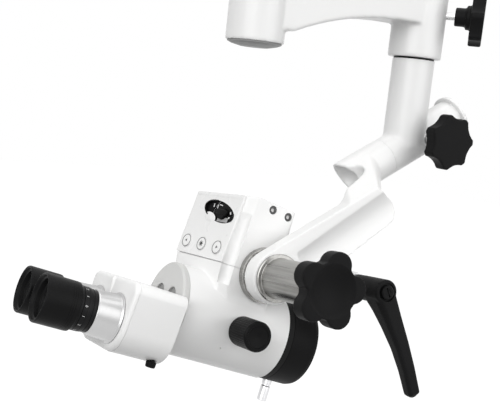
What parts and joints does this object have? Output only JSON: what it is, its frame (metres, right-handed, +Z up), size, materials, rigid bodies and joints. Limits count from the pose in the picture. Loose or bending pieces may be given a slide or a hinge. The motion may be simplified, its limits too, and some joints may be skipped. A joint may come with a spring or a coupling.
{
  "type": "surgical microscope head",
  "caption": "Binocular surgical microscope head with lamp box, control panel and tilt hub, hung from a slanted swivel sleeve and a link arm.",
  "frame": {"origin": "on the upright swivel axis, at the top face of the link's mounting boss, where the carrying arm's spindle enters", "axes": "+Z up, +X along the link from the mounting boss to the post boss; the tilt knob is on the -Y side and the eyepieces point towards -X"},
  "size_m": [0.4976, 0.2404, 0.4657],
  "materials": {
    "white_paint": "smooth satin white coating on castings",
    "gray_paint": "satin light gray metal disc",
    "cap_plastic": "matte gray moulded cap",
    "black_plastic": "satin black moulded plastic",
    "white_plastic": "pale matte push button",
    "steel": "fine turned steel",
    "bronze": "plain bearing bronze",
    "washer_plastic": "dark low-friction plastic",
    "bare_aluminium": "turned and milled aluminium",
    "black_anodized": "satin black anodized aluminium",
    "lens_glass": "coated optical glass",
    "mirror_glass": "front-silvered mirror",
    "black_rubber": "soft matte black rubber"
  },
  "bodies": {
    "link": {"link_casting": "white_paint", "link_bottom_cap": "cap_plastic", "link_top_cap": "white_paint", "mount_bush": "bronze", "post_bushes": "bronze"},
    "top_clamp": {"top_clamp_knob": "black_plastic", "top_clamp_stud": "steel"},
    "post": {"post_casting": "white_paint", "post_spindle": "steel", "spindle_nut": "steel", "thrust_washer": "washer_plastic", "sleeve_bushes": "bronze"},
    "side_clamp": {"side_clamp_knob": "black_plastic", "side_clamp_stud": "steel"},
    "arm": {"yoke_arm": "white_paint", "arm_axle": "steel", "sleeve_end_cap": "white_paint", "hub_bush": "bronze", "hub_sleeve": "steel", "spring_stack": "steel"},
    "tilt_knob": {"tilt_knob": "black_plastic"},
    "carriage": {"tilt_shaft": "steel", "tilt_ring": "steel", "carriage_rail": "steel"},
    "lever": {"clamp_lever": "black_plastic", "lever_stud": "steel"},
    "lever_button": {"lever_button": "black_plastic"},
    "head": {"main_housing": "white_paint", "lamp_cover": "white_paint", "control_panel": "white_paint", "chassis": "bare_aluminium", "bino_flange": "gray_paint", "led_module": "bare_aluminium", "collector_lens": "lens_glass", "light_mirror": "mirror_glass", "objective_barrel": "black_anodized", "body_screws": "steel"},
    "button_far": {"button_far": "white_plastic"},
    "button_middle": {"button_middle": "white_plastic"},
    "button_near": {"button_near": "white_plastic"},
    "brightness_dial": {"brightness_dial": "black_plastic"},
    "changer": {"changer_drum": "bare_aluminium", "changer_knobs": "black_plastic", "changer_lenses": "lens_glass"},
    "focus": {"focus_ring": "black_anodized", "focus_pin": "steel"},
    "objective": {"objective_cell": "black_anodized", "objective_lens": "lens_glass"},
    "binocular": {"bino_housing": "white_paint", "bino_prisms": "lens_glass"},
    "lock_knob": {"lock_knob": "black_plastic"},
    "tube_near": {"collar_near": "bare_aluminium", "eyepiece_near": "black_anodized"},
    "tube_far": {"collar_far": "bare_aluminium", "eyepiece_far": "black_anodized"},
    "diopter_near": {"diopter_near": "black_anodized"},
    "diopter_far": {"diopter_far": "black_anodized"},
    "eyecup_near": {"eyecup_near": "black_rubber"},
    "eyecup_far": {"eyecup_far": "black_rubber"}
  },
  "joints": [
    {"name": "post_turn", "type": "hinge", "parent": "link", "child": "post", "pos_m": [0.206, 0, 0], "axis": [0, 0, 1], "range_deg": [-150, 150]},
    {"name": "top_clamp_turn", "type": "hinge", "parent": "link", "child": "top_clamp", "pos_m": [0.22721, -0.02121, -0.042], "axis": [0.7071, -0.7071, 0], "range_deg": [-180, 180]},
    {"name": "arm_turn", "type": "hinge", "parent": "post", "child": "arm", "pos_m": [0.206, 0, -0.1873], "axis": [0.8721, 0, 0.4894], "range_deg": [-35, 50]},
    {"name": "side_clamp_turn", "type": "hinge", "parent": "post", "child": "side_clamp", "pos_m": [0.22519, -0.03, -0.17653], "axis": [0, -1, 0], "range_deg": [-180, 180]},
    {"name": "tilt_knob_turn", "type": "hinge", "parent": "arm", "child": "tilt_knob", "pos_m": [0.01771, -0.00392, -0.32707], "axis": [0.0639, 0.9914, -0.1138], "range_deg": [-180, 180]},
    {"name": "head_tilt", "type": "hinge", "parent": "arm", "child": "carriage", "pos_m": [0.01771, -0.00392, -0.32707], "axis": [0.0639, 0.9914, -0.1138], "range_deg": [-12, 74]},
    {"name": "balance_slide", "type": "slide", "parent": "carriage", "child": "head", "axis": [0.9583, -0.0928, -0.2703], "range_m": [-0.008, 0.008]},
    {"name": "lever_turn", "type": "hinge", "parent": "carriage", "child": "lever", "pos_m": [0.12171, -0.01173, -0.33675], "axis": [0.0639, 0.9914, -0.1138], "range_deg": [-50, 50]},
    {"name": "lever_button_push", "type": "slide", "parent": "lever", "child": "lever_button", "axis": [0.0639, 0.9914, -0.1138], "range_m": [0, 0.002], "stiffness_N_per_m": 500, "springref_m": -0.002},
    {"name": "button_far_push", "type": "slide", "parent": "head", "child": "button_far", "axis": [0.9496, 0.1223, -0.2885], "range_m": [0, 0.001], "stiffness_N_per_m": 600, "springref_m": -0.001},
    {"name": "button_middle_push", "type": "slide", "parent": "head", "child": "button_middle", "axis": [0.9496, 0.1223, -0.2885], "range_m": [0, 0.001], "stiffness_N_per_m": 600, "springref_m": -0.001},
    {"name": "button_near_push", "type": "slide", "parent": "head", "child": "button_near", "axis": [0.9496, 0.1223, -0.2885], "range_m": [0, 0.001], "stiffness_N_per_m": 600, "springref_m": -0.001},
    {"name": "dial_turn", "type": "hinge", "parent": "head", "child": "brightness_dial", "pos_m": [-0.01801, -0.00376, -0.26856], "axis": [0.9496, 0.1223, -0.2885], "range_deg": [-55, 55]},
    {"name": "changer_turn", "type": "hinge", "parent": "head", "child": "changer", "pos_m": [-0.00899, -0.00822, -0.37954], "axis": [0.0639, 0.9914, -0.1138], "range_deg": [-60, 60]},
    {"name": "focus_turn", "type": "hinge", "parent": "head", "child": "focus", "pos_m": [0.06029, -0.01481, -0.39805], "axis": [0.9583, -0.0928, -0.2703], "range_deg": [-50, 50]},
    {"name": "objective_travel", "type": "slide", "parent": "head", "child": "objective", "axis": [0.9583, -0.0928, -0.2703], "range_m": [-0.005, 0.005]},
    {"name": "bino_turn", "type": "hinge", "parent": "head", "child": "binocular", "pos_m": [-0.07079, -0.00366, -0.37453], "axis": [0.9583, -0.0928, -0.2703], "range_deg": [-15, 15]},
    {"name": "lock_turn", "type": "hinge", "parent": "binocular", "child": "lock_knob", "pos_m": [-0.10072, -0.0454, -0.40343], "axis": [0.2786, 0.0918, 0.956], "range_deg": [-180, 180]},
    {"name": "eye_spread", "type": "slide", "parent": "binocular", "child": "tube_near", "axis": [-0.0639, -0.9914, 0.1138], "range_m": [-0.0025, 0.008]},
    {"name": "eye_spread_far", "type": "slide", "parent": "binocular", "child": "tube_far", "axis": [0.0639, 0.9914, -0.1138], "range_m": [-0.0025, 0.008]},
    {"name": "diopter_near_turn", "type": "hinge", "parent": "tube_near", "child": "diopter_near", "pos_m": [-0.16437, -0.02416, -0.35522], "axis": [0.9583, -0.0928, -0.2703], "range_deg": [-120, 120]},
    {"name": "eyecup_near_pull", "type": "slide", "parent": "tube_near", "child": "eyecup_near", "axis": [-0.9583, 0.0928, 0.2703], "range_m": [0, 0.006]},
    {"name": "diopter_far_turn", "type": "hinge", "parent": "tube_far", "child": "diopter_far", "pos_m": [-0.16073, 0.03235, -0.36171], "axis": [0.9583, -0.0928, -0.2703], "range_deg": [-120, 120]},
    {"name": "eyecup_far_pull", "type": "slide", "parent": "tube_far", "child": "eyecup_far", "axis": [-0.9583, 0.0928, 0.2703], "range_m": [0, 0.006]}
  ],
  "couplings": [
    {"joint": "objective_travel", "follows": "focus_turn", "m_per_rad": 0.00573},
    {"joint": "eye_spread_far", "follows": "eye_spread", "ratio": 1}
  ]
}
